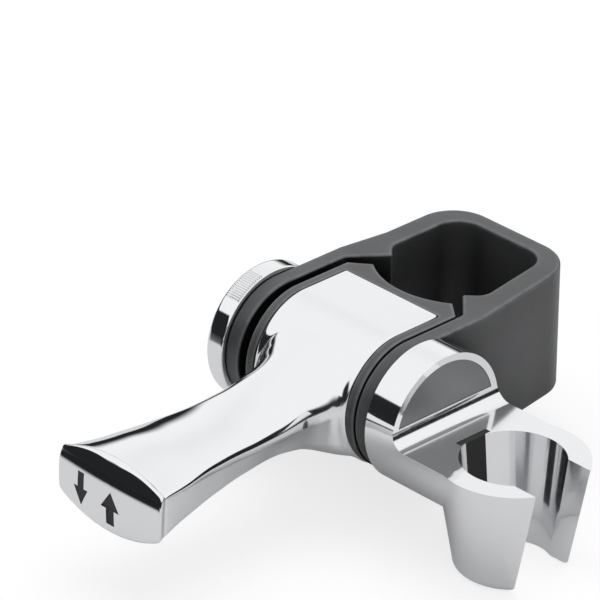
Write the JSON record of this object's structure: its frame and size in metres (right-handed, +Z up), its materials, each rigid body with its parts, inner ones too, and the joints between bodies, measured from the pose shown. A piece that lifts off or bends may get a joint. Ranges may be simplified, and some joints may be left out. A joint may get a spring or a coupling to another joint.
{
  "type": "shower rail slider",
  "caption": "Slider for a shower rail: a black clamp strap with a chrome lever that locks it, and a swivelling open cradle that holds the handset.",
  "frame": {"origin": "on the axis of the rail that the strap closes round, at the strap's mid height", "axes": "+Z up along the rail, +Y from the user towards the wall, +X from the tension knob towards the handset cradle"},
  "size_m": [0.0981, 0.1309, 0.0438],
  "materials": {
    "polished_chrome": "polished",
    "black_plastic": "fine satin grain",
    "arrow_black": "matt",
    "white_acetal": "plain",
    "bolt_steel": "bright",
    "insert_brass": "turned",
    "satin_grey": "satin",
    "black_rubber": "matt"
  },
  "bodies": {
    "strap": {"rail_strap": "black_plastic", "left_keyed_bush": "white_acetal", "right_keyed_bush": "white_acetal", "spring_plate": "bolt_steel", "wave_spring": "bolt_steel"},
    "jaw": {"saddle_jaw": "black_plastic"},
    "lever": {"lever_handle": "polished_chrome", "lever_end_cap": "polished_chrome", "down_arrow_inlay": "arrow_black", "up_arrow_inlay": "arrow_black"},
    "knob": {"tension_knob": "polished_chrome", "knob_washer": "white_acetal", "pivot_bolt": "bolt_steel"},
    "cradle": {"handset_cradle": "polished_chrome", "hub_face_inlay": "satin_grey", "socket_pad": "black_rubber", "threaded_insert": "insert_brass", "hub_washer": "white_acetal"}
  },
  "joints": [
    {"name": "lever_turn", "type": "hinge", "parent": "strap", "child": "lever", "pos_m": [0.00125, -0.034, 0], "axis": [1, 0, 0], "range_deg": [0, 30]},
    {"name": "jaw_slide", "type": "slide", "parent": "strap", "child": "jaw", "axis": [0, 1, 0], "range_m": [-0.0006, 0]},
    {"name": "knob_turn", "type": "hinge", "parent": "strap", "child": "knob", "pos_m": [0.00125, -0.034, 0], "axis": [1, 0, 0], "range_deg": [-90, 90]},
    {"name": "cradle_tilt", "type": "hinge", "parent": "strap", "child": "cradle", "pos_m": [0.00125, -0.034, 0], "axis": [1, 0, 0], "range_deg": [-60, 60]}
  ],
  "couplings": [
    {"joint": "jaw_slide", "follows": "lever_turn", "m_per_rad": -0.001145}
  ]
}
